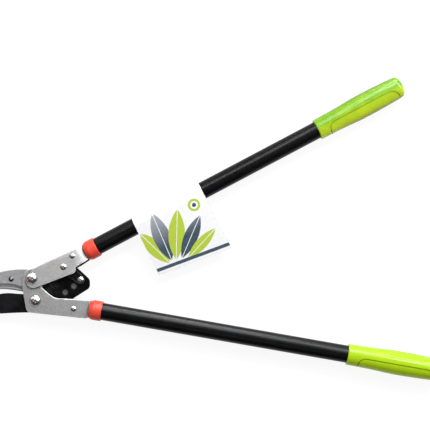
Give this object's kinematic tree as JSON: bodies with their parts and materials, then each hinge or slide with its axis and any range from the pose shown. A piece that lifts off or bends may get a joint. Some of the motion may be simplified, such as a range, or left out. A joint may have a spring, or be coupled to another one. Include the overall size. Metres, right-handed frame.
{
  "type": "bypass loppers",
  "caption": "Long-handled bypass loppers with a hooked jaw, a link-driven blade, tubular handles with moulded collars and grips, and a folded hang card.",
  "frame": {"origin": "on the axis of the handle pivot, in the plane that the tool lies on, which is the end of the pivot bolt and its nut", "axes": "+X along the tool from the head towards the grips, +Y towards the upper handle, +Z from the back to the front, where the domed heads are"},
  "size_m": [0.6981, 0.4389, 0.032],
  "materials": {
    "jaw_steel": "ground steel, bluish grey, with fine grinding lines along the jaw",
    "blade_coat": "low-friction black coating, worn thin where the plates rub",
    "plate_steel": "satin nickel-plated sheet steel",
    "tang_black": "black paint on forged steel",
    "bright_steel": "bright plated fasteners",
    "tube_black": "gloss black enamel",
    "collar_orange": "moulded plastic, satin",
    "grip_lime": "soft moulded plastic, smooth, slightly glossy",
    "card": "white coated board with printed bands, no text"
  },
  "bodies": {
    "lower_handle": {"hook_plate": "jaw_steel", "counter_blade": "jaw_steel", "hook_rivets": "bright_steel", "lower_front_plate": "plate_steel", "lower_back_plate": "plate_steel", "lower_tang": "tang_black", "lower_tang_rivet": "bright_steel", "lower_collar": "collar_orange", "lower_tube": "tube_black", "lower_grip": "grip_lime", "handle_pivot_bolt": "bright_steel", "handle_pivot_spacer": "bright_steel", "handle_pivot_washer": "bright_steel", "handle_pivot_nut": "bright_steel", "blade_pivot_bolt": "bright_steel", "blade_thrust_washer": "bright_steel", "blade_pivot_washer": "bright_steel", "blade_pivot_nut": "bright_steel"},
    "upper_handle": {"upper_front_plate": "plate_steel", "upper_back_plate": "plate_steel", "upper_tang": "tang_black", "upper_tang_rivet": "bright_steel", "upper_collar": "collar_orange", "upper_tube": "tube_black", "upper_grip": "grip_lime", "link_pin": "bright_steel", "link_spacer": "bright_steel", "hang_card": "card"},
    "blade": {"cutting_blade": "blade_coat", "tail_pin": "bright_steel"},
    "links": {"link_front": "tang_black", "link_back": "tang_black"}
  },
  "joints": [
    {"name": "handle_pivot", "type": "hinge", "parent": "lower_handle", "child": "upper_handle", "pos_m": [0, 0, 0.016], "axis": [0, 0, 1], "range_deg": [-16, 26]},
    {"name": "blade_pivot", "type": "hinge", "parent": "lower_handle", "child": "blade", "pos_m": [0.0042, -0.0325, 0.016], "axis": [0, 0, 1], "range_deg": [-10.6, 17.2]},
    {"name": "link_pivot", "type": "hinge", "parent": "upper_handle", "child": "links", "pos_m": [0.04533, 0.01653, 0.016], "axis": [0, 0, 1], "range_deg": [-28.4, 17.5]}
  ],
  "couplings": [
    {"joint": "blade_pivot", "follows": "handle_pivot", "ratio": 0.66},
    {"joint": "link_pivot", "follows": "handle_pivot", "ratio": -1.09}
  ]
}
